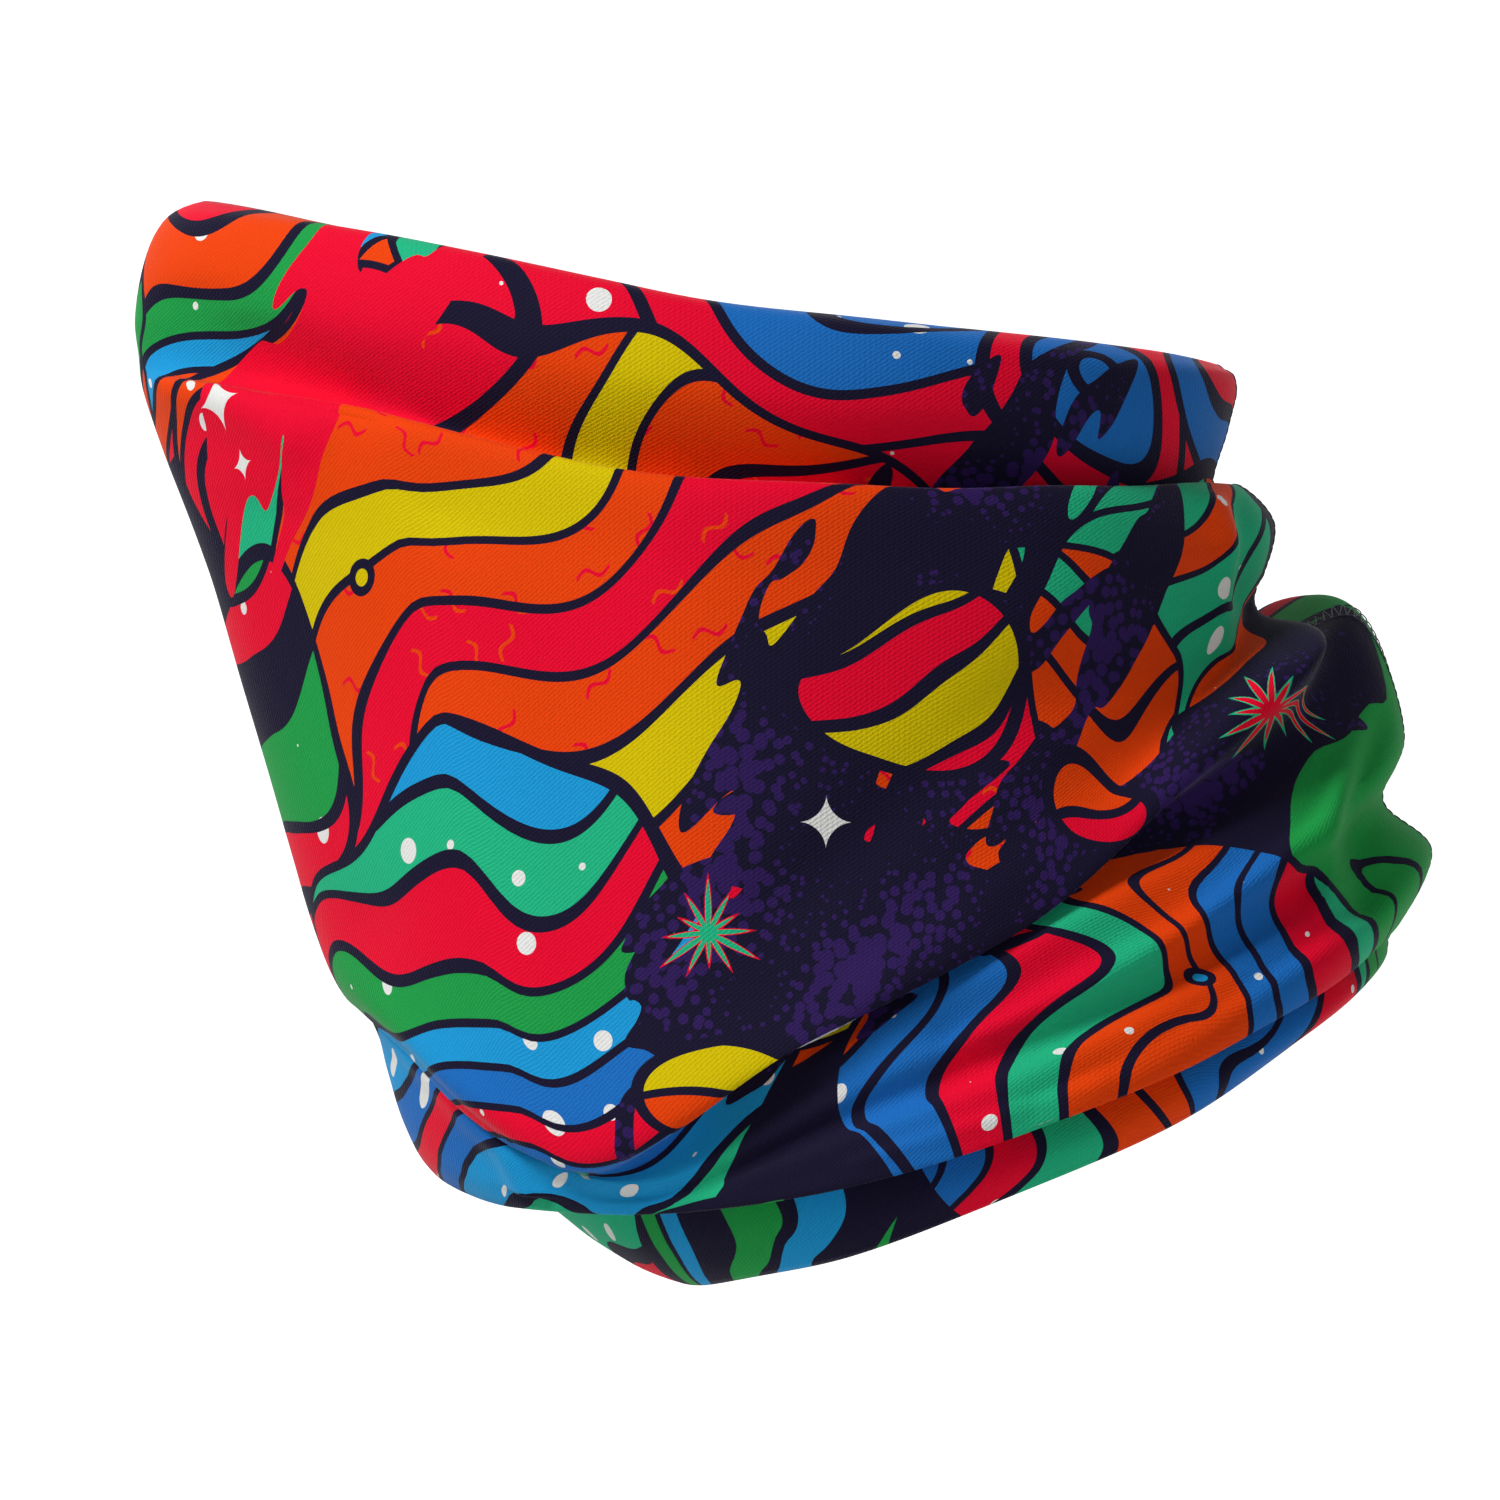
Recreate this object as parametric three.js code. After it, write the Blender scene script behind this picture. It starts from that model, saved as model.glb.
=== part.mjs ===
// Neck gaiter: one printed stretch tube worn over the nose, jaw and neck.
// Millimetres, +Z up. The wearer faces -X, the wearer's left side is -Y, and the origin is on the
// axis of the neck. The one cloth tube is built as sixteen panels: four bands that meet in its
// fold valleys, each with a front, a left, a right and a back panel. The seam that closes the
// tube runs down the back.
import * as THREE from "three";

// ---- driving dimensions -------------------------------------------------------------------

const wornLength = 246; // front to back over the nose and the nape
const wornHeight = 205; // highest to lowest point as worn
const wornDepth = 164; // left to right over the jaw
const fabricThickness = 0.8;
const panelGap = 0.4; // between two panels of the tube, wide enough for their sharply bent corners

const frontPanelAngle = 40; // degrees each side of the front line
const backPanelAngle = 38; // degrees each side of the back line

const seamGap = 0.6; // between the tube and the seam's own layers, which follow its curves
const seamAllowanceWidth = 8;
const seamAllowanceThickness = 0.6; // both plies, pressed flat
const seamEndInset = 1.5; // the allowance stops short of both cut edges
const stitchBandWidth = 6; // over the threads that cross the seam outside
const stitchBandThickness = 0.5;
const stitchBandGap = 0.35; // between the threads and the outer face

const cellsPerSpan = 3; // along the tube, between two neighbouring loops
const cellsFront = 10; // around, in a front panel
const cellsBack = 20; // around, in a back panel, fine enough for the seam to follow
const cellsSide = 14; // around, in a side panel

// ---- the worn shape -----------------------------------------------------------------------

// The tube is drawn as loops from the top edge to the bottom edge. Each loop lists where it runs
// as seen from the side: points [x, z] from the front line to the back line, at equal steps of
// angle. depth is its half width, and pinch narrows its front towards the nose or the chin.
const drawnLength = 246;
const drawnHeight = 205;
const drawnHalfDepth = 82;

const loops = [
  {
    // top edge, turned in a little against the head
    side: [[-115.5, 102], [-86, 97], [-14.5, 81.5], [57, 73.5], [86, 70]],
    depth: 65,
    pinch: 0.45,
  },
  {
    // crease under the turned edge
    side: [[-120.5, 93.5], [-90, 95], [-16.5, 79], [56.5, 68], [87, 68.5]],
    depth: 71,
    pinch: 0.45,
  },
  {
    // middle of the face band
    side: [[-123, 81], [-92.5, 81], [-18.5, 66], [55, 59], [85, 59.5]],
    depth: 74,
    pinch: 0.45,
  },
  {
    // valley of the cheek fold
    side: [[-122.5, 73.5], [-92.5, 67], [-19.5, 47.5], [52.5, 45.5], [82.5, 51]],
    depth: 70,
    pinch: 0.42,
  },
  {
    // ledge of the cheek fold
    side: [[-122, 68], [-92, 64], [-18.5, 49], [55, 47.5], [87.5, 49]],
    depth: 75.5,
    pinch: 0.42,
  },
  {
    // upper lip, cheek and the first roll of the nape
    side: [[-118.5, 56.5], [-87, 49.5], [-12.5, 30.5], [62, 32.5], [93.5, 42]],
    depth: 78,
    pinch: 0.42,
  },
  {
    // middle of the jaw
    side: [[-108, 29.5], [-78.5, 12], [-8, -3], [62, 10], [91.5, 32]],
    depth: 79.5,
    pinch: 0.42,
  },
  {
    // lower jaw, where the front hangs as a tent from the chin
    side: [
      [-93.5, -20], [-81, -30.5], [-47.5, -48], [-1.5, -43],
      [44, -22], [78, 9], [90, 29],
    ],
    depth: 80.5,
    pinch: 0.4,
  },
  {
    // lower lip of the jaw flap, which hangs over the neck roll and sinks into the nape pocket
    side: [
      [-83, -48], [-71.5, -57], [-39, -80], [4.5, -55.5],
      [48, -31.5], [81, -1], [88, 10],
    ],
    depth: 82.5,
    pinch: 0.36,
  },
  {
    // top of the neck roll, hidden behind the flap, which stands up as the rim of the nape pocket
    side: [
      [-78, -52], [-66, -58], [-36.5, -76.5], [5, -48],
      [48, -23.5], [87, -5], [105, 22.5],
    ],
    depth: 74,
    pinch: 0.32,
  },
  {
    // first bulge of the neck roll
    side: [
      [-75, -62], [-62, -70.5], [-27, -81.5], [21, -59.5],
      [69, -37], [104.5, -12], [117.5, 1.5],
    ],
    depth: 79,
    pinch: 0.3,
  },
  {
    // crease between the two bulges
    side: [
      [-72, -72], [-59.5, -77.5], [-25.5, -83.5], [21, -65],
      [67, -45.5], [101, -24], [113.5, -11],
    ],
    depth: 79,
    pinch: 0.28,
  },
  {
    // second bulge of the neck roll
    side: [
      [-68, -80], [-55, -83.5], [-20, -85], [27.5, -70.5],
      [75, -52], [110, -33], [123, -20],
    ],
    depth: 80,
    pinch: 0.26,
  },
  {
    // lower lip of the neck roll, which hangs over the collar band
    side: [
      [-62.5, -84.5], [-50.5, -87], [-17.5, -86.5], [27.5, -77.5],
      [72.5, -61], [105.5, -43], [118, -32],
    ],
    depth: 80,
    pinch: 0.24,
  },
  {
    // valley above the collar band
    side: [
      [-49.5, -85.5], [-38.5, -85], [-9, -79.5], [31.5, -70.5],
      [72.5, -54.5], [102, -39.5], [112.5, -37],
    ],
    depth: 72,
    pinch: 0.15,
  },
  {
    // middle of the collar band
    side: [
      [-36, -94.5], [-26, -94], [2, -88.5], [40, -79],
      [78, -62.5], [105.5, -47], [113.5, -42.5],
    ],
    depth: 75,
    pinch: 0.1,
  },
  {
    // bottom edge
    side: [
      [-22, -102.5], [-13.5, -102], [10.5, -96], [43.5, -83.5],
      [76, -69.5], [100, -54], [108.5, -47],
    ],
    depth: 72.5,
    pinch: 0.05,
  },
];

const sharpness = 4; // how quickly the pinch dies away behind the front line

// The half width of a loop at an angle from the front line.
function halfWidth(loop, angle) {
  const front = ((1 + Math.cos(angle)) / 2) ** sharpness;
  return loop.depth * Math.sin(angle) * (1 - loop.pinch * front);
}

// One loop as a closed curve: down the left side from front to back, and up the right side.
function loopCurve(loop) {
  const steps = loop.side.length - 1;
  const points = [];
  for (let i = 0; i < 2 * steps; i++) {
    const angle = (Math.PI * i) / steps;
    const [x, z] = loop.side[i <= steps ? i : 2 * steps - i];
    points.push(
      new THREE.Vector3(
        (x * wornLength) / drawnLength,
        (-halfWidth(loop, angle) * wornDepth) / (2 * drawnHalfDepth),
        (z * wornHeight) / drawnHeight,
      ),
    );
  }
  return new THREE.CatmullRomCurve3(points, true, "centripetal");
}

const loopCurves = loops.map(loopCurve);
const spans = loops.length - 1;

// The line down the tube at an angle round it, in degrees from the front line over the left side.
const lineAt = new Map();
function downLine(degrees) {
  const key = degrees.toFixed(4);
  if (!lineAt.has(key)) {
    const turn = (((degrees / 360) % 1) + 1) % 1;
    const points = loopCurves.map((curve) => curve.getPoint(turn));
    lineAt.set(key, new THREE.CatmullRomCurve3(points, false, "centripetal"));
  }
  return lineAt.get(key);
}

// A point of the outer face: down is counted in loops from the top edge.
function facePoint(degrees, down) {
  return downLine(degrees).getPoint(down / spans);
}

const degreeStep = 0.5; // steps for slopes, small against the folds
const downStep = 0.02;

// The direction out of the cloth at a point, and the directions in the cloth that run square to
// the lines down the tube and square to the loops.
function frameAt(degrees, down) {
  const before = Math.max(down - downStep, 0);
  const after = Math.min(down + downStep, spans);
  const round = facePoint(degrees + degreeStep, down).sub(facePoint(degrees - degreeStep, down));
  const along = facePoint(degrees, after).sub(facePoint(degrees, before));
  const out = new THREE.Vector3().crossVectors(along, round).normalize();
  const offLine = new THREE.Vector3().crossVectors(out, along).normalize();
  const offLoop = new THREE.Vector3().crossVectors(round, out).normalize();
  return { offLine, offLoop, out };
}

// ---- closed solids that lie along the face -------------------------------------------------

// A closed solid over a grid of the face. place(i, j) gives for each place of the grid the point
// on the face and the direction out of it. near and far are heights over the face along out.
function layerSolid(columns, rows, place, near, far) {
  const positions = [];
  const triangles = [];
  const layerSize = (columns + 1) * (rows + 1);
  for (const height of [far, near]) {
    for (let j = 0; j <= rows; j++) {
      for (let i = 0; i <= columns; i++) {
        const { point, out } = place(i, j);
        const p = point.clone().addScaledVector(out, height);
        positions.push(p.x, p.y, p.z);
      }
    }
  }
  const top = (i, j) => j * (columns + 1) + i;
  const bottom = (i, j) => layerSize + top(i, j);
  const quad = (a, b, c, d) => triangles.push(a, b, c, a, c, d);
  for (let j = 0; j < rows; j++) {
    for (let i = 0; i < columns; i++) {
      quad(top(i, j), top(i, j + 1), top(i + 1, j + 1), top(i + 1, j));
      quad(bottom(i, j), bottom(i + 1, j), bottom(i + 1, j + 1), bottom(i, j + 1));
    }
  }
  for (let i = 0; i < columns; i++) {
    quad(top(i, 0), top(i + 1, 0), bottom(i + 1, 0), bottom(i, 0));
    quad(top(i + 1, rows), top(i, rows), bottom(i, rows), bottom(i + 1, rows));
  }
  for (let j = 0; j < rows; j++) {
    quad(top(0, j + 1), top(0, j), bottom(0, j), bottom(0, j + 1));
    quad(top(columns, j), top(columns, j + 1), bottom(columns, j + 1), bottom(columns, j));
  }
  const geometry = new THREE.BufferGeometry();
  geometry.setAttribute("position", new THREE.Float32BufferAttribute(positions, 3));
  geometry.setIndex(triangles);
  geometry.computeVertexNormals();
  return geometry;
}

// A cloth panel between two angles and two loops, drawn in by half the gap on all four sides.
function panelGeometry(fromDegrees, toDegrees, fromLoop, toLoop, columns) {
  const rows = (toLoop - fromLoop) * cellsPerSpan;
  const place = (i, j) => {
    const degrees = THREE.MathUtils.lerp(fromDegrees, toDegrees, i / columns);
    const down = fromLoop + j / cellsPerSpan;
    const point = facePoint(degrees, down);
    const { offLine, offLoop, out } = frameAt(degrees, down);
    if (i === 0) point.addScaledVector(offLine, panelGap / 2);
    if (i === columns) point.addScaledVector(offLine, -panelGap / 2);
    if (j === 0 && fromLoop > 0) point.addScaledVector(offLoop, panelGap / 2);
    if (j === rows && toLoop < spans) point.addScaledVector(offLoop, -panelGap / 2);
    return { point, out };
  };
  return layerSolid(columns, rows, place, -fabricThickness, 0);
}

// A strip that runs down the whole back, centred on the back line.
function backStripGeometry(width, near, far) {
  const columns = 2;
  const rows = spans * cellsPerSpan;
  const line = downLine(180);
  const firstSpan = line.getPoint(0).distanceTo(line.getPoint(1 / spans));
  const lastSpan = line.getPoint(1 - 1 / spans).distanceTo(line.getPoint(1));
  const place = (i, j) => {
    let down = j / cellsPerSpan;
    if (j === 0) down = seamEndInset / firstSpan;
    if (j === rows) down = spans - seamEndInset / lastSpan;
    const perDegree = facePoint(180 + degreeStep, down).y / degreeStep;
    const degrees = 180 + (width * (i / columns - 0.5)) / perDegree;
    return { point: facePoint(degrees, down), out: frameAt(degrees, down).out };
  };
  return layerSolid(columns, rows, place, near, far);
}

// ---- materials ----------------------------------------------------------------------------

const printedKnit = new THREE.MeshStandardMaterial({
  name: "printed_knit",
  color: 0x2a2347,
  roughness: 0.85,
  metalness: 0,
});
const seamKnit = new THREE.MeshStandardMaterial({
  name: "seam_knit",
  color: 0xe4e2dc,
  roughness: 0.9,
  metalness: 0,
});
const seamThread = new THREE.MeshStandardMaterial({
  name: "seam_thread",
  color: 0x1c1838,
  roughness: 0.7,
  metalness: 0,
});

// ---- the tube, band by band ---------------------------------------------------------------

const bands = [
  { from: 0, to: 3, names: ["nose_bridge", "left_cheek", "back_of_head", "right_cheek"] },
  { from: 3, to: 9, names: ["chin_tent", "left_jaw", "upper_nape_roll", "right_jaw"] },
  { from: 9, to: 14, names: ["throat", "left_neck_roll", "lower_nape_roll", "right_neck_roll"] },
  { from: 14, to: 16, names: ["front_collar", "left_collar", "back_collar", "right_collar"] },
];

const quarters = [
  { from: -frontPanelAngle, to: frontPanelAngle, cells: cellsFront },
  { from: frontPanelAngle, to: 180 - backPanelAngle, cells: cellsSide },
  { from: 180 - backPanelAngle, to: 180 + backPanelAngle, cells: cellsBack },
  { from: 180 + backPanelAngle, to: 360 - frontPanelAngle, cells: cellsSide },
];

const tube = new THREE.Group();
tube.name = "printed_tube";
for (const band of bands) {
  quarters.forEach((quarter, i) => {
    const geometry = panelGeometry(quarter.from, quarter.to, band.from, band.to, quarter.cells);
    const panel = new THREE.Mesh(geometry, printedKnit);
    panel.name = band.names[i];
    tube.add(panel);
  });
}

// ---- the seam that closes the tube --------------------------------------------------------

const seam = new THREE.Group();
seam.name = "centre_back_seam";

const allowanceTop = -fabricThickness - seamGap;
const allowance = new THREE.Mesh(
  backStripGeometry(seamAllowanceWidth, allowanceTop - seamAllowanceThickness, allowanceTop),
  seamKnit,
);
allowance.name = "seam_allowance";
seam.add(allowance);

const stitchBand = new THREE.Mesh(
  backStripGeometry(stitchBandWidth, stitchBandGap, stitchBandGap + stitchBandThickness),
  seamThread,
);
stitchBand.name = "flatlock_stitch_band";
seam.add(stitchBand);

const neckGaiter = new THREE.Group();
neckGaiter.name = "neck_gaiter";
neckGaiter.add(tube, seam);

export default neckGaiter;
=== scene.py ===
import math

import bpy
import numpy as np
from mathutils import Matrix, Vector, noise


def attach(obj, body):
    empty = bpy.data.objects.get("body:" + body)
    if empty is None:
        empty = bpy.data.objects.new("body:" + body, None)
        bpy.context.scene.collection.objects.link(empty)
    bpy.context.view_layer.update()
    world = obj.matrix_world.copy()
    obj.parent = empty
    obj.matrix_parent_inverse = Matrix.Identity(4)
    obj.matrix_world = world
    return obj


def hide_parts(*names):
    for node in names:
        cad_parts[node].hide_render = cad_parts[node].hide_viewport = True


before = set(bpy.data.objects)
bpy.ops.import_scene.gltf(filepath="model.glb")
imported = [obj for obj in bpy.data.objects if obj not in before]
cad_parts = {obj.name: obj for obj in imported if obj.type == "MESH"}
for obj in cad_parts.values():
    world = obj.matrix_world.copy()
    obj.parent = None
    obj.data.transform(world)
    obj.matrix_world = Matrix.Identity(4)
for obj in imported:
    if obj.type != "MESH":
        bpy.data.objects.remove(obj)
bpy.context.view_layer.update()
MM = 0.001

# ------------------------------------------------------------------ the printed tube
# One tube of fine polyester knit, printed all over and cut clean at both ends. It is pulled over
# the nose and down to the neck, where its spare length gathers into folds: one across the cheek,
# a flap that hangs under the jaw, a roll round the neck and a pocket at the nape.

COLUMNS = 236  # round the tube, a multiple of 4 so that one lies on the middle of each side
ROW_STEP = 1.7  # mm between rows, or closer in short spans
LEAST_ROWS = 4  # in a span between two loops
CLOTH_THICKNESS = 0.7  # mm
NOSE_SHARPNESS = 4.0


def evenly(points):
    """Side points at equal steps of angle, from the front line (0) to the back line (180)."""
    return [(180.0 * i / (len(points) - 1), x, z) for i, (x, z) in enumerate(points)]


# Loops from the top edge to the bottom edge: half width, how much the front is pinched, and
# (angle, x, z) from the front line to the back line as seen from the side, in mm, with a half
# width of its own where the loop is narrower. A loop that isn't the same on both sides lists
# its far side too.
LOOPS = [
    # top edge, turned in a little against the head
    (65, 0.45, evenly([(-112.5, 105), (-84, 99.5), (-14.5, 84.5), (57, 76.5), (86, 73)])),
    # crease under the turned edge
    (71, 0.45, evenly([(-119.5, 96), (-89, 96), (-16.5, 80), (56.5, 70), (87, 70)])),
    # middle of the face band
    (74, 0.45, evenly([(-123, 81), (-92.5, 81), (-18.5, 66), (55, 59), (85, 59.5)])),
    # valley of the cheek fold
    (63.5, 0.42, evenly([(-122.5, 73.5), (-92.5, 67), (-19.5, 47.5), (52.5, 45.5), (82.5, 49)])),
    # ledge of the cheek fold
    (75.5, 0.42, evenly([(-122, 68), (-92, 64), (-18.5, 49), (55, 47.5), (86.5, 49.5)])),
    # upper lip, cheek and the first roll of the nape
    (78, 0.42, evenly([(-118.5, 56.5), (-87, 49.5), (-12.5, 30.5), (62, 32.5), (93.5, 42)])),
    # middle of the jaw
    (79.5, 0.42, evenly([(-108, 29.5), (-78.5, 12), (-8, -3), (62, 10), (91.5, 32)])),
    # lower jaw, where the front hangs as a tent from the chin
    (80.5, 0.40, evenly([(-93.5, -20), (-81, -30.5), (-47.5, -48), (-1.5, -43),
                         (44, -22), (78, 9), (90, 29)])),
    # lower lip of the jaw flap, whose tip stands out at the nape and sinks into the pocket
    (82.5, 0.36, [(0, -83, -48), (30, -71.5, -57), (60, -39, -78), (90, 4.5, -55.5),
                  (120, 48, -31.5), (142, 84, 1), (157, 101.5, 18.5), (169, 97.5, 22.5),
                  (180, 89, 17)],
     [(191, 87, 16, 70), (203, 83, 11, 69), (216, 76, 1, 73.5), (225, 69, -9, 76),
      (234, 57, -21, 79.5), (240, 48, -31.5),
      (270, 4.5, -55.5), (300, -39, -78), (330, -71.5, -57)]),
    # top of the neck roll, hidden behind the flap, then the rim of the nape pocket, which
    # stands higher on the right
    (74, 0.32, [(0, -78, -52), (30, -66, -58.5), (60, -35, -80), (90, 5, -49),
                (120, 48, -24), (150, 89, -3), (167, 103, 14), (180, 108, 25)],
     [(193, 102, 28.5), (207, 91, 25), (216, 81, 7, 75.5), (225, 68, -13, 77.5),
      (234, 57, -19, 77), (240, 48, -24), (270, 5, -49),
      (300, -35, -80), (330, -66, -58.5)]),
    # first bulge of the neck roll
    (79, 0.30, evenly([(-75, -62), (-62, -70.5), (-27, -81.5), (21, -59.5),
                       (69, -37), (104.5, -12), (117.5, 1.5)])),
    # crease between the two bulges
    (76.5, 0.28, evenly([(-72, -72), (-59.5, -77.5), (-25.5, -83.5), (21, -65),
                       (67, -45.5), (101, -24), (113.5, -11)])),
    # second bulge of the neck roll
    (80, 0.26, evenly([(-68, -80), (-55, -83.5), (-20, -85), (27.5, -70.5),
                       (75, -52), (110, -33), (123, -20)])),
    # lower lip of the neck roll
    (80, 0.24, evenly([(-62.5, -84.5), (-50.5, -87), (-17.5, -86.5), (27.5, -77.5),
                       (72.5, -61), (105.5, -43), (118, -33)])),
    # valley above the collar band
    (74, 0.15, evenly([(-49.5, -85.5), (-38.5, -85), (-9, -80), (31.5, -71.5),
                       (73, -56), (104, -42), (115.5, -36.5)])),
    # middle of the collar band
    (75, 0.10, evenly([(-36, -94.5), (-26, -94), (2, -88.5), (40, -79),
                       (78, -62.5), (106, -46.5), (114.5, -41)])),
    # bottom edge
    (72.5, 0.05, evenly([(-22, -102.5), (-13.5, -102), (10.5, -96), (43.5, -83.5),
                         (76, -69.5), (100, -54), (108.5, -47)])),
]


def smooth_curve(points, closed):
    """The centripetal curve through the points, as a function of the point number."""
    count = len(points)
    if closed:
        ring = points[np.arange(-1, count + 2) % count]
    else:
        ring = np.vstack([2 * points[0] - points[1], points, 2 * points[-1] - points[-2]])
    gaps = np.linalg.norm(np.diff(ring, axis=0), axis=1) ** 0.5

    def at(number):
        i = np.clip(np.floor(number).astype(int), 0, (count if closed else count - 1) - 1)
        t = (number - i)[:, None]
        a, b, c, d = ring[i], ring[i + 1], ring[i + 2], ring[i + 3]
        g0, g1, g2 = (gaps[i + k][:, None] for k in range(3))
        leave = ((b - a) / g0 - (c - a) / (g0 + g1) + (c - b) / g1) * g1
        reach = ((c - b) / g1 - (d - b) / (g1 + g2) + (d - c) / g2) * g1
        return (
            (2 * t**3 - 3 * t**2 + 1) * b
            + (t**3 - 2 * t**2 + t) * leave
            + (3 * t**2 - 2 * t**3) * c
            + (t**3 - t**2) * reach
        )

    return at


def loop_line(angles, half_width, pinch, near, far=None):
    """Points of one loop at the given angles. The far side mirrors the near one by itself."""
    if far is None:
        far = [(360 - a, x, z) for a, x, z in near[-2:0:-1]]
    points = []
    for a, x, z, *own in near + far:
        turn = math.radians(a)
        front = ((1 + math.cos(turn)) / 2) ** NOSE_SHARPNESS
        width = own[0] if own else half_width
        points.append((x, -width * math.sin(turn) * (1 - pinch * front), z))
    marks = [point[0] for point in near + far] + [360]
    curve = smooth_curve(np.array(points), True)
    return curve(np.interp(angles % 360, marks, np.arange(len(marks))))


angles = -180 + 360 * np.arange(COLUMNS) / COLUMNS  # the back, the far side, the front, the near
loop_points = np.array([loop_line(angles, *loop) for loop in LOOPS])
spans = np.linalg.norm(np.diff(loop_points, axis=0), axis=2).max(axis=1)
row_counts = [max(LEAST_ROWS, round(span / ROW_STEP)) for span in spans]
row_starts = [k + np.arange(n) / n for k, n in enumerate(row_counts)]
numbers = np.concatenate(row_starts + [[len(LOOPS) - 1]])
columns = [smooth_curve(loop_points[:, j], False)(numbers) for j in range(COLUMNS)]
cloth = np.stack(columns, axis=1)  # rows, columns, xyz, in mm


def out_of_cloth(grid):
    """Unit directions out of the cloth at every point of the grid."""
    round_it = np.roll(grid, -1, axis=1) - np.roll(grid, 1, axis=1)
    down_it = np.gradient(grid, axis=0)
    out = np.cross(down_it, round_it)
    return out / np.linalg.norm(out, axis=2, keepdims=True)


def arc_lengths(grid, axis):
    """Distance run along the grid's rows (0) or round its columns (1), from the first point."""
    steps = np.linalg.norm(np.diff(grid, axis=axis), axis=2)
    return np.insert(np.cumsum(steps, axis=axis), 0, 0, axis=axis)


# Soft folds and dents that the loops don't draw: first and last loop of the layer they lie in,
# height, half width, and the line they follow as seen from the side (x, z), in mm.
CREASES = [
    # ridge that runs from the notch under the chin tent to the front of the neck roll
    (8, 12, 2.6, 3.2, [(-79, -51), (-74, -54), (-62, -65), (-51, -75), (-47, -83)]),
    (6.5, 8, 1.4, 4.5, [(-88, -42), (-66, -60), (-50, -74)]),
    # dent and ridge under the bridge of the nose
    (1.5, 5, -2.4, 8.0, [(-112, 80), (-100, 74), (-80, 63)]),
    (3.5, 6, 1.6, 5.0, [(-116, 68), (-104, 65), (-92, 57)]),
    # shallow pulls down the chin tent and along the jaw
    (5, 8, -1.5, 11.0, [(-96, 40), (-88, 5), (-78, -30)]),
    (5, 8, 1.2, 9.0, [(-60, 48), (-52, 0), (-44, -50)]),
    (5, 8, -1.6, 8.0, [(84, 30), (40, 4), (0, -30)]),
    (5, 8, 1.6, 6.0, [(90, 12), (52, -18), (18, -44)]),
    # creases of the neck roll, from the nape towards the chin
    (9.3, 12, 1.5, 3.4, [(98, -2), (76, -19), (42, -39), (8, -58)]),
    (9.3, 12, -1.5, 3.6, [(100, -12), (70, -32), (30, -53)]),
    (11.3, 13.5, 1.7, 3.4, [(106, -22), (66, -50), (28, -67), (-6, -78)]),
    (11.3, 13.5, -1.3, 3.0, [(114, -24), (84, -46), (46, -66)]),
    (12, 14, 1.2, 2.4, [(14, -76), (36, -69), (58, -62)]),
    # gathers at the nape
    (4.2, 7.5, 1.8, 2.4, [(80, 47), (84, 34), (82, 18)]),
    (4.2, 7.5, -1.8, 2.2, [(86, 46), (88, 36), (87, 27)]),
    (9.5, 13.5, -2.0, 3.2, [(112, 4), (108, -14), (110, -30)]),
    (9.5, 13.5, 1.8, 3.0, [(106, 2), (102, -14), (100, -30)]),
]
CREASE_FADE = 0.3  # of a loop step, over which a crease comes and goes
RELIEF = 0.9  # mm, of the cloth's loose waves
RELIEF_SIZE = 34.0  # mm from one wave to the next
EDGE_ROLL = 3.2  # mm that the top edge curls in, over the reach of the curl
EDGE_REACH = 8.0
HEM_ROLL = 1.2  # and the bottom edge


def line_distance(x, z, line):
    """Distance in the side view from each point to a line of straight pieces."""
    best = np.full(x.shape, np.inf)
    for (x0, z0), (x1, z1) in zip(line, line[1:]):
        along = (x - x0) * (x1 - x0) + (z - z0) * (z1 - z0)
        t = np.clip(along / ((x1 - x0) ** 2 + (z1 - z0) ** 2), 0, 1)
        best = np.minimum(best, np.hypot(x - x0 - t * (x1 - x0), z - z0 - t * (z1 - z0)))
    return best


facing = out_of_cloth(cloth)
sideways = np.clip(np.abs(facing[:, :, 1]) * 2, 0, 1)  # creases fade where the cloth turns away
rise = np.zeros(cloth.shape[:2])
for first, last, height, half_width, line in CREASES:
    starts = np.clip((numbers - first) / CREASE_FADE, 0, 1)
    inside = starts * np.clip((last - numbers) / CREASE_FADE, 0, 1)
    near = np.exp(-((line_distance(cloth[:, :, 0], cloth[:, :, 2], line) / half_width) ** 2))
    rise += height * near * inside[:, None]
waves = np.array([
    noise.noise(Vector(point) / RELIEF_SIZE) for point in cloth.reshape(-1, 3)
]).reshape(rise.shape)
rise = rise * sideways + RELIEF * waves
from_top = arc_lengths(cloth, 0)
from_hem = from_top[-1] - from_top
rise -= EDGE_ROLL * np.clip(1 - from_top / EDGE_REACH, 0, 1) ** 2
rise -= HEM_ROLL * np.clip(1 - from_hem / EDGE_REACH, 0, 1) ** 2
cloth = cloth + facing * rise[:, :, None]

# The print's own map, in mm of cloth: across, the distance round from the middle of the wearer's
# left side, where it equals x; down, the distance from the top edge, level with that side's.
closed = np.concatenate([cloth, cloth[:, :1]], axis=1)
around = arc_lengths(closed, 1)
down = arc_lengths(closed, 0)
side_column = 3 * COLUMNS // 4
across_print = closed[:, side_column, 0][:, None] + around - around[:, side_column][:, None]
down_print = down + closed[0, side_column, 2] - closed[0, :, 2][None, :]


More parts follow.
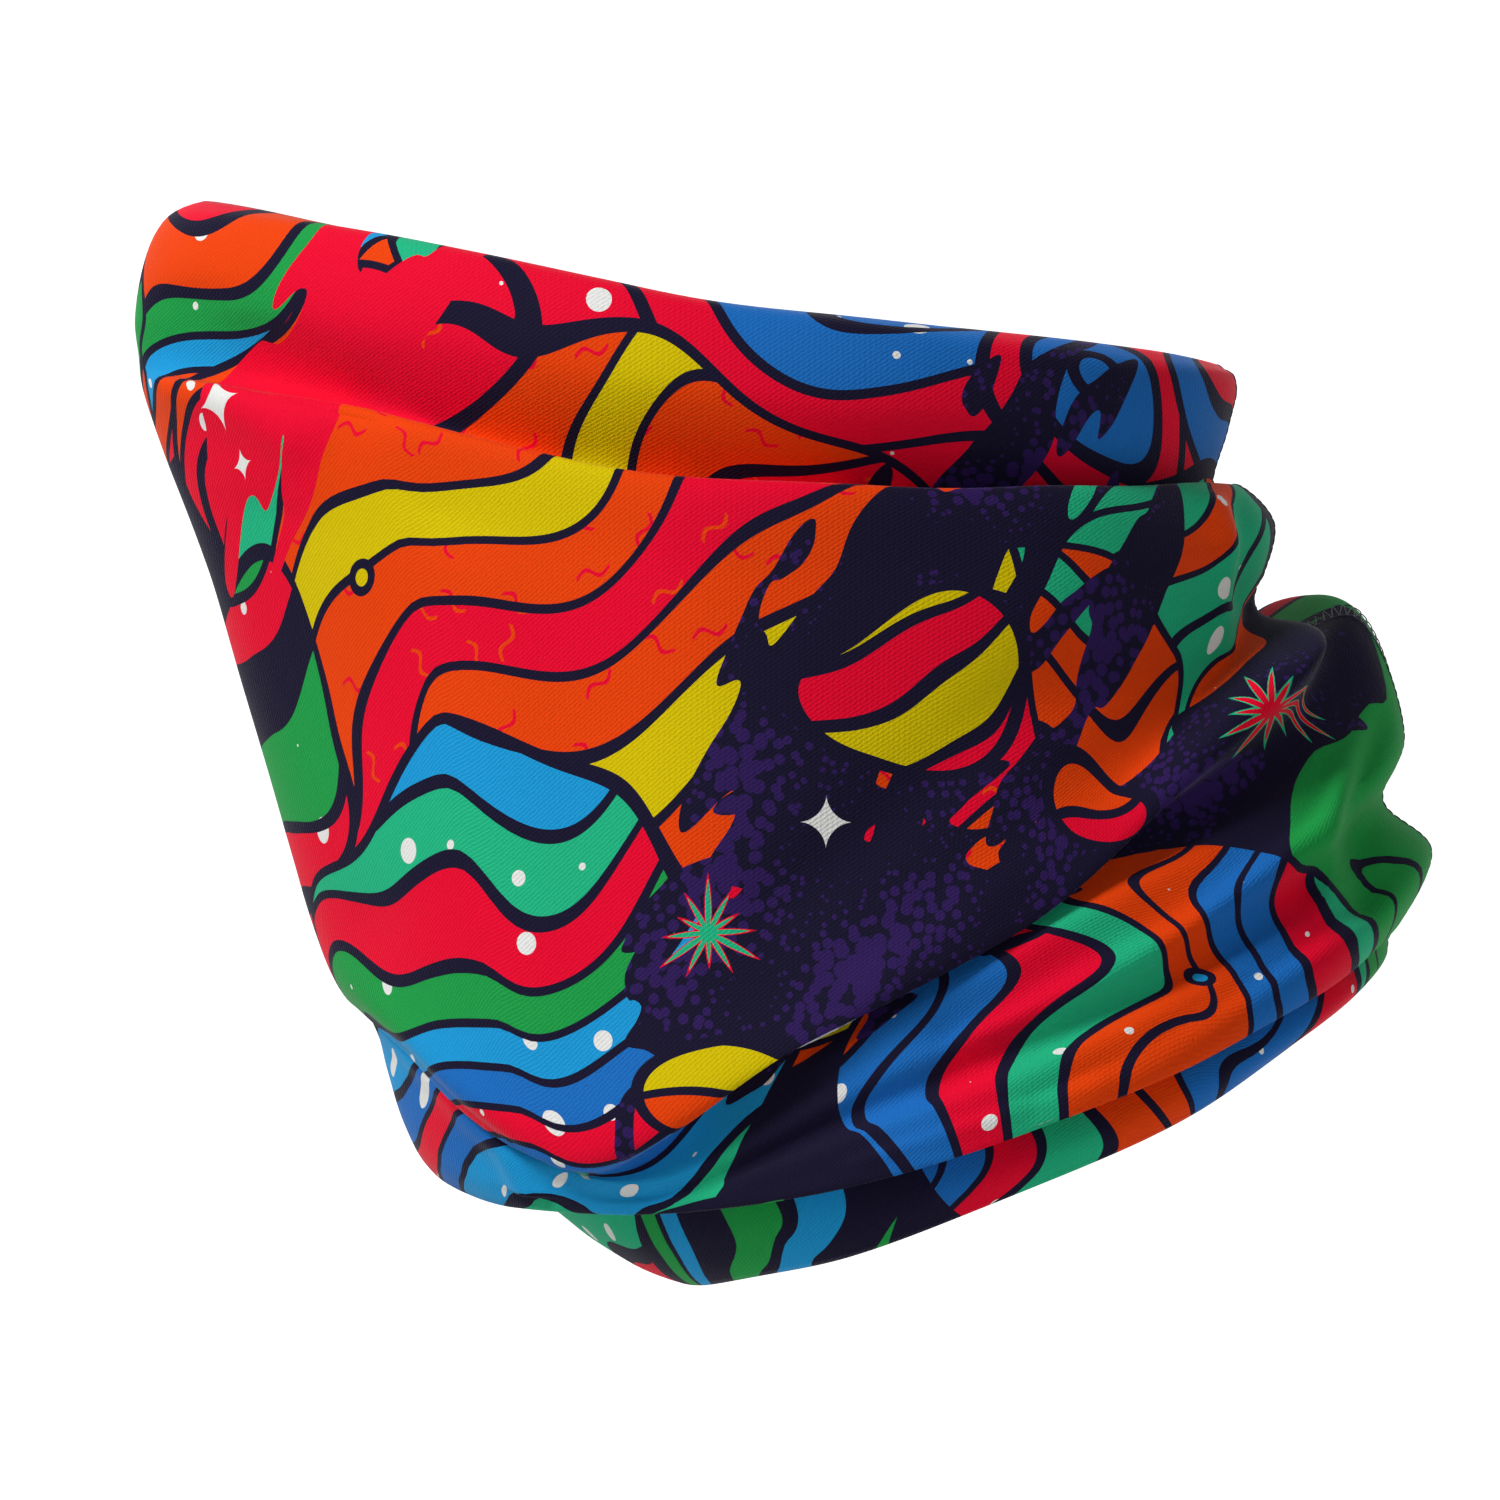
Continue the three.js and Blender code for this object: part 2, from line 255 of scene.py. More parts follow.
def grid_mesh(name, grid, print_u, print_v):
    """A tube of quads over the grid, with its own map in mm of printed cloth."""
    rows, count, _ = grid.shape
    faces, places = [], []
    for r in range(rows - 1):
        for c in range(count):
            d = (c + 1) % count
            faces.append((r * count + c, (r + 1) * count + c, (r + 1) * count + d, r * count + d))
            places += [(r, c), (r + 1, c), (r + 1, c + 1), (r, c + 1)]
    mesh = bpy.data.meshes.new(name)
    mesh.from_pydata((grid.reshape(-1, 3) * MM).tolist(), [], faces)
    layer = mesh.uv_layers.new(name="print_mm")
    place = np.array(places)
    uv = np.stack([print_u[place[:, 0], place[:, 1]], print_v[place[:, 0], place[:, 1]]], axis=1)
    layer.data.foreach_set("uv", uv.ravel().astype(np.float32))
    mesh.polygons.foreach_set("use_smooth", [True] * len(mesh.polygons))
    mesh.validate()
    made = bpy.data.objects.new(name, mesh)
    bpy.context.collection.objects.link(made)
    return made


tube = grid_mesh("printed_tube", cloth, across_print, down_print)


def linear(code):
    """An sRGB hex colour as linear red, green, blue and alpha."""
    parts = [int(code[i : i + 2], 16) / 255 for i in (0, 2, 4)]
    return tuple(c / 12.92 if c <= 0.04045 else ((c + 0.055) / 1.055) ** 2.4 for c in parts) + (1.0,)


def add(tree, kind, *inputs, out=0, **settings):
    """A new node with its settings, and its inputs in order: a value, a socket to link, or None."""
    made = tree.nodes.new("ShaderNode" + kind)
    for setting, value in settings.items():
        setattr(made, setting, value)
    for socket, value in zip(made.inputs, inputs):
        if isinstance(value, bpy.types.NodeSocket):
            tree.links.new(value, socket)
        elif value is not None:
            socket.default_value = value
    return made.outputs[out]


# The print: rounded hills filled with wavy stripes on dark navy, every shape with a navy outline,
# under two ragged splashes of ink, with dots, stars and squiggles. Sizes are mm of cloth.
NAVY = linear("19152F")
PURPLE = linear("301C58")
RED = linear("EA0430")
ORANGE = linear("EA4305")
YELLOW = linear("D6C000")
GREEN = linear("1E9C48")
MINT = linear("22B583")
CYAN = linear("1B98D6")
BLUE = linear("1C6CBE")
WHITE = linear("E8E8E6")
OUTLINE = 1.1  # half the width of an outline
WARP_SIZE = 46.0  # over which the shapes wander
WARP_REACH = 13.0
RAG_LENGTH = 24.0  # of the streaks that a splash runs out in
RAG_WIDTH = 7.5
DOT_CELL = 15.0  # one dot, or none, in each cell
DOT_SPREAD = 4.8  # between the least and the greatest radius; a radius below 0 draws no dot
DOT_LEAST = -2.2
CURL_CELL = 14.0
CURL_RATE = 1.1  # radians of wave in each mm
CURL_HEIGHT = 0.8
CURL_HALF_WIDTH = 0.42
CURL_HALF_LENGTH = 3.4
GRAIN_CELL = 2.6  # of the speckle in the splashes
DRIFT_SIZE = 26.0  # over which the speckle thickens and thins
RING_RADIUS = 3.4
RING_CORE = 1.6
SPARK_POWER = 0.6  # under 1, so that a spark's four sides curve in
BURST_POINTS = 12

# Hills from the back of the drawing to the front: centre, half sizes, the direction across its
# stripes in degrees (None for rings that follow the rim), stripe width, wave height, wave
# length, colours, and what is scattered over it.
BACK_HILLS = [
    ((-122, -4), (66, 42), 74, 10, 4, 62, (GREEN, CYAN, ORANGE, RED, ORANGE), "dots"),
    ((-96, 44), (44, 40), 60, 13, 4, 60, (RED, ORANGE, RED, CYAN), "dots"),
    ((-116, 60), (22, 26), 40, 15, 3, 50, (RED, MINT), ""),
    ((-40, 0), (34, 32), 20, 13, 4, 50, (ORANGE, GREEN, MINT, RED), "dots"),
    ((34, -6), (90, 56), None, 13, 0, 40, (RED, RED, BLUE, BLUE, BLUE), "dots"),
    ((62, 20), (28, 20), None, 8, 0, 40, (RED, BLUE, BLUE), ""),
    ((116, 6), (34, 30), None, 11, 0, 40, (BLUE, RED), ""),
    ((92, 66), (52, 38), 40, 15, 5, 60, (MINT, MINT, ORANGE), "dots"),
    ((60, 96), (34, 34), 85, 13, 5, 46, (ORANGE, MINT, ORANGE), ""),
    ((-42, 108), (92, 94), 62, 17, 8, 84, (YELLOW, ORANGE, RED, ORANGE), "squiggles"),
    ((-128, 92), (30, 36), 70, 16, 4, 50, (GREEN, RED, NAVY), "dots"),
    ((150, 152), (34, 50), None, 22, 0, 40, (GREEN, GREEN, RED), ""),
    ((-70, 174), (72, 70), 82, 12, 8, 112,
     (RED, BLUE, CYAN, MINT, RED, GREEN, CYAN, BLUE), "dots"),
    ((-14, 246), (34, 36), 12, 9, 3, 36, (GREEN, CYAN, NAVY), ""),
    ((74, 200), (66, 66), 6, 13, 8, 56, (ORANGE, BLUE, BLUE, RED, MINT, ORANGE), "dots"),
    # round the front and over the far side
    ((-196, 14), (50, 56), 60, 14, 6, 60, (CYAN, GREEN, ORANGE, RED), "dots"),
    ((-262, 6), (62, 58), None, 12, 0, 40, (RED, BLUE, BLUE, MINT), ""),
    ((-350, 30), (60, 66), 100, 15, 7, 66, (YELLOW, ORANGE, RED), "squiggles"),
    ((-206, 112), (62, 66), 108, 16, 8, 80, (YELLOW, ORANGE, RED, ORANGE), "squiggles"),
    ((-300, 124), (58, 64), 20, 14, 7, 60, (MINT, BLUE, RED, ORANGE), "dots"),
    ((-396, 120), (50, 60), None, 13, 0, 40, (GREEN, GREEN, RED, CYAN), "dots"),
    ((-170, 194), (50, 60), 104, 12, 6, 80, (RED, BLUE, CYAN, MINT, RED, GREEN), "dots"),
    ((-256, 206), (54, 62), 95, 13, 8, 66, (RED, ORANGE, GREEN, CYAN), "dots"),
    ((-346, 208), (56, 62), 10, 13, 7, 58, (ORANGE, BLUE, MINT, RED), ""),
    ((-428, 208), (40, 62), 80, 13, 5, 58, (RED, GREEN, YELLOW), ""),
]
# Splashes over them: centre, half sizes, the direction they run in degrees, raggedness, colour
# and the colour of their speckle.
SPLASHES = [
    ((-104, 26), (46, 11), 126, 1.7, RED, RED),
    ((-84, 22), (40, 7), 128, 1.7, RED, RED),
    ((20, 88), (70, 22), 120, 1.9, NAVY, PURPLE),
    ((66, 84), (36, 7), 118, 1.8, NAVY, PURPLE),
    ((50, 22), (26, 6), 122, 1.7, NAVY, PURPLE),
    ((16, 148), (42, 30), 160, 1.3, NAVY, PURPLE),
    ((96, 118), (62, 15), 160, 1.3, NAVY, PURPLE),
    ((-240, 90), (74, 18), 50, 1.9, NAVY, PURPLE),
    ((-330, 70), (56, 14), 130, 1.9, NAVY, PURPLE),
]
# Small hills over the splashes.
FRONT_HILLS = [
    ((24, 96), (25, 15), 64, 10, 3, 44, (YELLOW, RED), ""),
    ((64, 114), (16, 9), 60, 12, 2, 40, (RED, ORANGE), ""),
    ((-12, 176), (13, 15), 100, 12, 2, 40, (ORANGE, YELLOW), ""),
    ((-252, 96), (26, 20), 70, 11, 3, 40, (YELLOW, RED), ""),
]
# Four-pointed sparks: centre and reach.
SPARKS = [((-120, 30), 6.0), ((-117, 43), 3), ((8, 122), 5.0), ((-215, 60), 5), ((-300, 176), 4.5)]
# Spiky bursts: centre, reach, colour and the colour of the rim.
BURSTS = [((118, 112), 15, RED, MINT), ((-14, 142), 10, MINT, RED), ((-290, 90), 12, RED, MINT)]
# Small rings with a coloured middle: centre, size and colour.
RINGS = [((-52, 190), MINT), ((-88, 70), YELLOW), ((84, 176), CYAN), ((-176, 150), MINT)]


def stripes(tree, band, inks):
    """The inks in turn, as sharp equal parts of the band's 0 to 1."""
    ramp = tree.nodes.new("ShaderNodeValToRGB")
    ramp.color_ramp.interpolation = "CONSTANT"
    while len(ramp.color_ramp.elements) > len(inks):
        ramp.color_ramp.elements.remove(ramp.color_ramp.elements[-1])
    while len(ramp.color_ramp.elements) < len(inks):
        ramp.color_ramp.elements.new(0.5)
    for i, ink in enumerate(inks):
        ramp.color_ramp.elements[i].position = i / len(inks)
        ramp.color_ramp.elements[i].color = ink
    tree.links.new(band, ramp.inputs[0])
    return ramp.outputs[0]


def hill(tree, place, under, dots, curls, centre, half, turn, width, height, length, inks, extra):
    """Paints one hill with its stripes over what is under it."""
    offset = add(tree, "VectorMath", place, (*centre, 0), operation="SUBTRACT")
    unit = add(tree, "VectorMath", offset, (1 / half[0], 1 / half[1], 1), operation="MULTIPLY")
    reach = add(tree, "VectorMath", unit, operation="LENGTH", out=1)
    inward = add(tree, "Math", 1.0, reach, operation="SUBTRACT")
    inward = add(tree, "Math", inward, min(half), operation="MULTIPLY")
    thin = 1.0
    if turn is None:
        phase = add(tree, "Math", inward, 1 / width, operation="MULTIPLY")
    else:
        angle = math.radians(turn)
        over = (math.cos(angle) / width, math.sin(angle) / width, 0)
        beside = (-math.sin(angle) * math.tau / length, math.cos(angle) * math.tau / length, 0)
        phase = add(tree, "VectorMath", offset, over, operation="DOT_PRODUCT", out=1)
        wave = add(tree, "VectorMath", offset, beside, operation="DOT_PRODUCT", out=1)
        slope = add(tree, "Math", wave, operation="COSINE")
        slope = add(tree, "Math", slope, height * math.tau / length, operation="MULTIPLY")
        slope = add(tree, "Math", slope, slope, 1.0, operation="MULTIPLY_ADD")
        thin = add(tree, "Math", slope, operation="SQRT")
        wave = add(tree, "Math", wave, operation="SINE")
        phase = add(tree, "Math", wave, height / width, phase, operation="MULTIPLY_ADD")
    band = add(tree, "Math", phase, 1 / len(inks), operation="MULTIPLY")
    band = add(tree, "Math", band, operation="FRACT")
    colour = stripes(tree, band, inks)
    if extra == "dots":
        colour = add(tree, "MixRGB", dots, colour, WHITE)
    if extra == "squiggles":
        turned_inks = [{ORANGE: RED, RED: ORANGE}.get(ink, ink) for ink in inks]
        colour = add(tree, "MixRGB", curls, colour, stripes(tree, band, turned_inks))
    edge = add(tree, "Math", phase, 0.5, operation="PINGPONG")
    thin = add(tree, "Math", thin, OUTLINE / width, operation="MULTIPLY")
    line = add(tree, "Math", edge, thin, operation="LESS_THAN")
    rim = add(tree, "Math", inward, 2 * OUTLINE, operation="LESS_THAN")
    line = add(tree, "Math", line, rim, operation="MAXIMUM")
    colour = add(tree, "MixRGB", line, colour, NAVY)
    inside = add(tree, "Math", inward, 0.0, operation="GREATER_THAN")
    return add(tree, "MixRGB", inside, under, colour)


def splash(tree, place, under, speckle, centre, half, run, raggedness, ink, fleck):
    """Paints one splash of ink, which runs out in streaks, over what is under it."""
    offset = add(tree, "VectorMath", place, (*centre, 0), operation="SUBTRACT")
    turned = add(tree, "VectorRotate", offset, None, None, math.radians(-run), rotation_type="Z_AXIS")
    unit = add(tree, "VectorMath", turned, (1 / half[0], 1 / half[1], 1), operation="MULTIPLY")
    reach = add(tree, "VectorMath", unit, operation="LENGTH", out=1)
    streak = add(tree, "VectorMath", turned, (1 / RAG_LENGTH, 1 / RAG_WIDTH, 1), operation="MULTIPLY")
    streak = add(tree, "VectorMath", streak, (*centre, 0), operation="ADD")
    rags = add(tree, "TexNoise", streak, None, 1.0, 0.4, 0.5, noise_dimensions="2D")
    depth = add(tree, "Math", rags, raggedness, operation="MULTIPLY")
    depth = add(tree, "Math", depth, reach, operation="SUBTRACT")
    inside = add(tree, "Math", depth, 0.5 * raggedness - 1, operation="GREATER_THAN")
    colour = add(tree, "MixRGB", speckle, ink, fleck)
    return add(tree, "MixRGB", inside, under, colour)


def make_print():
    """The whole drawing as a node group that gives its colour on the cloth's own map."""
    tree = bpy.data.node_groups.new("all-over print", "ShaderNodeTree")
    tree.interface.new_socket("Ink", in_out="OUTPUT", socket_type="NodeSocketColor")
    flat = add(tree, "UVMap", uv_map="print_mm")
    wander = add(tree, "TexNoise", flat, None, 1 / WARP_SIZE, 0.0, 0.5, noise_dimensions="2D", out=1)
    wander = add(tree, "VectorMath", wander, (0.5, 0.5, 0.5), operation="SUBTRACT")
    wander = add(tree, "VectorMath", wander, (WARP_REACH * 2,) * 3, operation="MULTIPLY")
    place = add(tree, "VectorMath", flat, wander, operation="ADD")
    place = add(tree, "VectorMath", place, (1, 1, 0), operation="MULTIPLY")

    # white dots, one in a cell
    cells = tree.nodes.new("ShaderNodeTexVoronoi")
    cells.voronoi_dimensions = "2D"
    cells.inputs["Scale"].default_value = 1 / DOT_CELL
    cells.inputs["Randomness"].default_value = 0.7
    tree.links.new(flat, cells.inputs["Vector"])
    apart = add(tree, "Math", cells.outputs["Distance"], DOT_CELL, operation="MULTIPLY")
    size = add(tree, "SeparateColor", cells.outputs["Color"])
    size = add(tree, "Math", size, DOT_SPREAD, DOT_LEAST, operation="MULTIPLY_ADD")
    dots = add(tree, "Math", apart, size, operation="LESS_THAN")

    # squiggles, each turned its own way
    hooks = tree.nodes.new("ShaderNodeTexVoronoi")
    hooks.voronoi_dimensions = "2D"
    hooks.inputs["Scale"].default_value = 1 / CURL_CELL
    hooks.inputs["Randomness"].default_value = 0.8
    tree.links.new(flat, hooks.inputs["Vector"])
    middle = hooks.outputs["Position"]
    local = add(tree, "VectorMath", flat, middle, operation="SUBTRACT")
    heading = add(tree, "SeparateColor", hooks.outputs["Color"])
    heading = add(tree, "Math", heading, math.tau, operation="MULTIPLY")
    local = add(tree, "VectorRotate", local, None, None, heading, rotation_type="Z_AXIS")
    run = tree.nodes.new("ShaderNodeSeparateXYZ")
    tree.links.new(local, run.inputs[0])
    bend = add(tree, "Math", run.outputs[0], CURL_RATE, operation="MULTIPLY")
    bend = add(tree, "Math", bend, operation="SINE")
    bend = add(tree, "Math", bend, CURL_HEIGHT, operation="MULTIPLY")
    off = add(tree, "Math", run.outputs[1], bend, operation="SUBTRACT")
    off = add(tree, "Math", off, operation="ABSOLUTE")
    on_curl = add(tree, "Math", off, CURL_HALF_WIDTH, operation="LESS_THAN")
    length = add(tree, "Math", run.outputs[0], operation="ABSOLUTE")
    in_length = add(tree, "Math", length, CURL_HALF_LENGTH, operation="LESS_THAN")
    curls = add(tree, "Math", on_curl, in_length, operation="MULTIPLY")

    # speckle of the splashes
    grains = tree.nodes.new("ShaderNodeTexVoronoi")
    grains.voronoi_dimensions = "2D"
    grains.inputs["Scale"].default_value = 1 / GRAIN_CELL
    tree.links.new(flat, grains.inputs["Vector"])
    drift = add(tree, "TexNoise", flat, None, 1 / DRIFT_SIZE, 1.0, 0.5, noise_dimensions="2D")
    drift = add(tree, "Math", drift, 1.7, -0.62, operation="MULTIPLY_ADD")
    speckle = add(tree, "Math", grains.outputs["Distance"], drift, operation="LESS_THAN")

    # the layers in turn, each over the one before
    colour = add(tree, "RGB")
    tree.nodes[-1].outputs[0].default_value = NAVY
    for shape in BACK_HILLS:
        colour = hill(tree, place, colour, dots, curls, *shape)
    for shape in SPLASHES:
        colour = splash(tree, flat, colour, speckle, *shape)
    for shape in FRONT_HILLS:
        colour = hill(tree, place, colour, dots, curls, *shape)
    for centre, ink in RINGS:
        far = add(tree, "VectorMath", flat, (*centre, 0), operation="DISTANCE", out=1)
        whole = add(tree, "Math", far, RING_RADIUS, operation="LESS_THAN")
        core = add(tree, "Math", far, RING_CORE, operation="LESS_THAN")
        colour = add(tree, "MixRGB", whole, colour, NAVY)
        colour = add(tree, "MixRGB", core, colour, ink)
    for centre, size in SPARKS:
        offset = add(tree, "VectorMath", flat, (*centre, 0), operation="SUBTRACT")
        offset = add(tree, "VectorMath", offset, operation="ABSOLUTE")
        arms = tree.nodes.new("ShaderNodeSeparateXYZ")
        tree.links.new(offset, arms.inputs[0])
        wide = add(tree, "Math", arms.outputs[0], SPARK_POWER, operation="POWER")
        tall = add(tree, "Math", arms.outputs[1], SPARK_POWER, operation="POWER")
        star = add(tree, "Math", wide, tall, operation="ADD")
        star = add(tree, "Math", star, size**SPARK_POWER, operation="LESS_THAN")
        colour = add(tree, "MixRGB", star, colour, WHITE)
    for centre, size, ink, rim_ink in BURSTS:
        offset = add(tree, "VectorMath", flat, (*centre, 0), operation="SUBTRACT")
        far = add(tree, "VectorMath", offset, operation="LENGTH", out=1)
        arms = tree.nodes.new("ShaderNodeSeparateXYZ")
        tree.links.new(offset, arms.inputs[0])
        angle = add(tree, "Math", arms.outputs[1], arms.outputs[0], operation="ARCTAN2")
        point = add(tree, "Math", angle, math.pi / BURST_POINTS, operation="PINGPONG")
        point = add(tree, "Math", point, BURST_POINTS / math.pi, operation="MULTIPLY")
        point = add(tree, "Math", 1.0, point, operation="SUBTRACT")
        point = add(tree, "Math", point, 1.7, operation="POWER")
        uneven = add(tree, "Math", angle, 3.0, operation="MULTIPLY")
        uneven = add(tree, "Math", uneven, operation="SINE")
        uneven = add(tree, "Math", uneven, 0.22 * size, 0.62 * size, operation="MULTIPLY_ADD")
        reach = add(tree, "Math", point, uneven, 0.28 * size, operation="MULTIPLY_ADD")
        inner = add(tree, "Math", reach, far, operation="SUBTRACT")
        whole = add(tree, "Math", inner, 0.0, operation="GREATER_THAN")
        core = add(tree, "Math", inner, 0.12 * size, operation="GREATER_THAN")
        colour = add(tree, "MixRGB", whole, colour, rim_ink)
        colour = add(tree, "MixRGB", core, colour, ink)
    end = tree.nodes.new("NodeGroupOutput")
    tree.links.new(colour, end.inputs[0])
    return tree


drawing = make_print()

# The real knit's ribs are finer than 0.72 mm. They are drawn coarser so that they can be seen.
RIB_PITCH = 0.72  # mm between the knit's fine diagonal ribs
RIB_PHASE = (math.tau * 0.57 / RIB_PITCH, math.tau * 0.82 / RIB_PITCH, 0)
BREAK_PITCH = 1.05  # mm between the stitches along a rib
BREAK_PHASE = (math.tau / BREAK_PITCH, 0, 0)
RIB_SHIFT = 3.5  # radians that the ribs wander
FUZZ_RATE = 2.2  # of the yarn's fuzz, for each mm
FUZZ_HEIGHT = 2.2  # beside a rib's 1
KNIT_DEPTH = 0.00008  # m
KNIT_SPECULAR = 0.08  # dull yarn, with hardly any gloss


def knit_material(name, show, roughness, sheen):
    """Fine polyester knit: show is how much of the print the face takes.

    Ribs broken into stitches, with fuzz over them, take the gloss off the ink and give the dull,
    slightly soft look of printed sportswear.
    """
    made = bpy.data.materials.new(name)
    made.use_nodes = True
    tree = made.node_tree
    shader = tree.nodes["Principled BSDF"]
    ink = tree.nodes.new("ShaderNodeGroup")
    ink.node_tree = drawing
    flat = add(tree, "UVMap", uv_map="print_mm")
    fuzz = add(tree, "TexNoise", flat, None, FUZZ_RATE, 3.0, 0.6, noise_dimensions="2D")
    fade = add(tree, "Math", fuzz, 0.16, 0.92, operation="MULTIPLY_ADD")
    colour = add(tree, "MixRGB", show, WHITE, ink.outputs[0])
    colour = add(tree, "VectorMath", colour, None, None, fade, operation="SCALE")
    tree.links.new(colour, shader.inputs["Base Color"])
    shift = add(tree, "TexNoise", flat, None, 0.9, 1.0, 0.5, noise_dimensions="2D")
    shift = add(tree, "Math", shift, RIB_SHIFT, operation="MULTIPLY")
    rib = add(tree, "VectorMath", flat, RIB_PHASE, operation="DOT_PRODUCT", out=1)
    rib = add(tree, "Math", rib, shift, operation="ADD")
    rib = add(tree, "Math", rib, operation="SINE")
    break_up = add(tree, "VectorMath", flat, BREAK_PHASE, operation="DOT_PRODUCT", out=1)
    break_up = add(tree, "Math", break_up, shift, operation="SUBTRACT")
    break_up = add(tree, "Math", break_up, operation="SINE")
    stitch = add(tree, "Math", break_up, 0.5, rib, operation="MULTIPLY_ADD")
    stitch = add(tree, "Math", fuzz, FUZZ_HEIGHT, stitch, operation="MULTIPLY_ADD")
    bump = tree.nodes.new("ShaderNodeBump")
    bump.inputs["Strength"].default_value = 0.38
    bump.inputs["Distance"].default_value = KNIT_DEPTH
    tree.links.new(stitch, bump.inputs["Height"])
    tree.links.new(bump.outputs[0], shader.inputs["Normal"])
    shader.inputs["Roughness"].default_value = roughness
    shader.inputs["Specular IOR Level"].default_value = KNIT_SPECULAR
    shader.inputs["Sheen Weight"].default_value = sheen
    shader.inputs["Sheen Roughness"].default_value = 0.3
    return made


tube.data.materials.append(knit_material("printed polyester knit, face", 1.0, 0.78, 0.12))
tube.data.materials.append(knit_material("polyester knit, unprinted back", 0.2, 0.85, 0.2))
thick = tube.modifiers.new("one layer of knit", "SOLIDIFY")
thick.thickness = CLOTH_THICKNESS * MM
thick.offset = -1
thick.material_offset = 1
thick.material_offset_rim = 1

SEAM_NODES = ("seam_allowance", "flatlock_stitch_band")
CLOTH_NODES = [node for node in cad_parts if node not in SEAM_NODES]
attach(tube, "root")
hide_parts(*CLOTH_NODES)

# ------------------------------------------------------------------ the centre-back seam
# The tube is one flat piece whose two edges meet at the back. Inside lies the seam allowance, a
# narrow strip of both edges pressed flat. Outside, flatlock threads cross the join in a fine
# zigzag between two rows of loops.

ALLOWANCE_WIDTH = 8.0  # mm
ALLOWANCE_THICKNESS = 0.6
ALLOWANCE_CLEARANCE = 0.15  # between the strip and the inside of the cloth
END_INSET_ROWS = 1  # the strip stops short of both cut edges
STRIP_POINTS = 7  # across the strip
REACH_COLUMNS = 12  # of the tube each side of the back, wider than the strip
STITCH_WIDTH = 5.2
STITCH_PITCH = 1.7  # down the seam
THREAD_RADIUS = 0.12
THREAD_ARCH = 0.12  # how far a thread's middle stands out of the cloth
THREAD_SINK = 0.1  # how far its ends sink into the cloth
STITCH_SWAY = 0.06  # radians that a stitch may turn either way

back_facing = out_of_cloth(cloth)
wrapped = np.arange(-REACH_COLUMNS, REACH_COLUMNS + 1)
strip_rows = []
for row in range(END_INSET_ROWS, len(numbers) - END_INSET_ROWS):
    points = cloth[row, wrapped]
    steps = np.linalg.norm(np.diff(points, axis=0), axis=1)
    run = np.insert(np.cumsum(steps), 0, 0)
    run -= run[REACH_COLUMNS]
    wanted = np.linspace(-ALLOWANCE_WIDTH / 2, ALLOWANCE_WIDTH / 2, STRIP_POINTS)
    inward = -(CLOTH_THICKNESS + ALLOWANCE_CLEARANCE) * back_facing[row, wrapped]
    lying = points + inward
    strip_rows.append([[np.interp(w, run, lying[:, axis]) for axis in range(3)] for w in wanted])
strip_grid = np.array(strip_rows)
corners = np.arange(strip_grid.shape[0] * STRIP_POINTS).reshape(-1, STRIP_POINTS)
strip_faces = [
    (corners[r, c], corners[r + 1, c], corners[r + 1, c + 1], corners[r, c + 1])
    for r in range(len(corners) - 1)
    for c in range(STRIP_POINTS - 1)
]
strip_faces = [tuple(int(corner) for corner in face) for face in strip_faces]
strip_mesh = bpy.data.meshes.new("seam_allowance_strip")
strip_mesh.from_pydata((strip_grid.reshape(-1, 3) * MM).tolist(), [], strip_faces)
strip_mesh.polygons.foreach_set("use_smooth", [True] * len(strip_mesh.polygons))
strip = bpy.data.objects.new("seam_allowance_strip", strip_mesh)
bpy.context.collection.objects.link(strip)
pressed = strip.modifiers.new("two plies", "SOLIDIFY")
pressed.thickness = ALLOWANCE_THICKNESS * MM
pressed.offset = -1


def seam_material(name, code, grain, roughness):
    """Plain polyester: grain is the size in mm of its fine unevenness, which keeps it matt."""
    made = bpy.data.materials.new(name)
    made.use_nodes = True
    tree = made.node_tree
    shader = tree.nodes["Principled BSDF"]
    place = add(tree, "TexCoord", out=3)
    twist = add(tree, "TexNoise", place, None, 1000 / grain, 3.0, 0.6)
    shade = add(tree, "Math", twist, 0.5, 0.75, operation="MULTIPLY_ADD")
    colour = add(tree, "VectorMath", linear(code)[:3], None, None, shade, operation="SCALE")
    tree.links.new(colour, shader.inputs["Base Color"])
    bump = tree.nodes.new("ShaderNodeBump")
    bump.inputs["Strength"].default_value = 0.6
    bump.inputs["Distance"].default_value = 0.00008
    tree.links.new(twist, bump.inputs["Height"])
    tree.links.new(bump.outputs[0], shader.inputs["Normal"])
    shader.inputs["Roughness"].default_value = roughness
    shader.inputs["Sheen Weight"].default_value = 0.2
    return made


pressed_knit = seam_material("unprinted polyester knit, pressed seam", "DAD8D2", 0.9, 0.88)
strip_mesh.materials.append(pressed_knit)
thread = seam_material("textured polyester sewing thread, dark", "231D42", 0.35, 0.6)


